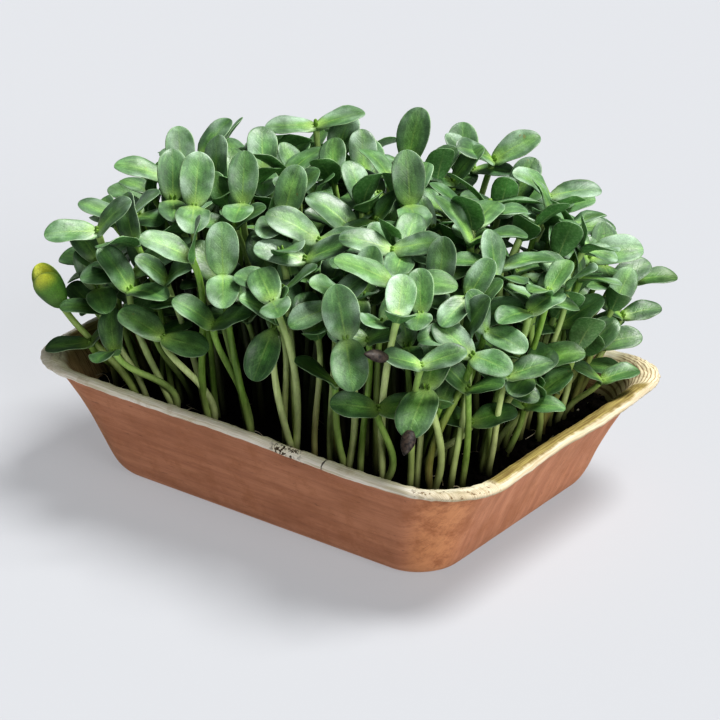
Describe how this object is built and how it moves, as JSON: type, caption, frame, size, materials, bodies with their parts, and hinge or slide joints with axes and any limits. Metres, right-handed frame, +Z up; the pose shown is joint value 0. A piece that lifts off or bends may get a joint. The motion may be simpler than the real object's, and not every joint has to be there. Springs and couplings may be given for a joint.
{
  "type": "sunflower microgreens tray",
  "caption": "Young sunflower shoots with paired oval seed leaves, crowded in soil in a flared rectangular palm-leaf tray with a rolled rim.",
  "frame": {"origin": "centre of the tray's flat base, on the surface that it stands on", "axes": "+Z up; +X along the tray's long side; +Y along its short side"},
  "size_m": [0.2253, 0.1833, 0.1411],
  "materials": {
    "palm_leaf": "matte",
    "soil": "matte",
    "shoots": "satin"
  },
  "bodies": {
    "root": {"tray": "palm_leaf", "soil": "soil", "shoots_01": "shoots", "shoots_02": "shoots", "shoots_03": "shoots", "shoots_04": "shoots", "shoots_05": "shoots", "shoots_06": "shoots", "shoots_07": "shoots", "shoots_08": "shoots", "shoots_09": "shoots", "shoots_10": "shoots", "shoots_11": "shoots", "shoots_12": "shoots", "shoots_13": "shoots", "shoots_14": "shoots", "shoots_15": "shoots", "shoots_16": "shoots", "shoots_17": "shoots", "shoots_18": "shoots", "shoots_19": "shoots", "shoots_20": "shoots", "shoots_21": "shoots", "shoots_22": "shoots", "shoots_23": "shoots", "shoots_24": "shoots", "shoots_25": "shoots", "shoots_26": "shoots", "shoots_27": "shoots", "shoots_28": "shoots", "shoots_29": "shoots", "shoots_30": "shoots", "shoots_31": "shoots", "shoots_32": "shoots", "shoots_33": "shoots", "shoots_34": "shoots", "shoots_35": "shoots", "shoots_36": "shoots", "shoots_37": "shoots", "shoots_38": "shoots", "shoots_39": "shoots", "shoots_40": "shoots", "shoots_41": "shoots", "shoots_42": "shoots", "shoots_43": "shoots", "shoots_44": "shoots", "shoots_45": "shoots", "shoots_46": "shoots", "shoots_47": "shoots", "shoots_48": "shoots", "shoots_49": "shoots", "shoots_50": "shoots", "shoots_51": "shoots", "shoots_52": "shoots", "shoots_53": "shoots", "shoots_54": "shoots", "shoots_55": "shoots", "shoots_56": "shoots"}
  },
  "joints": []
}
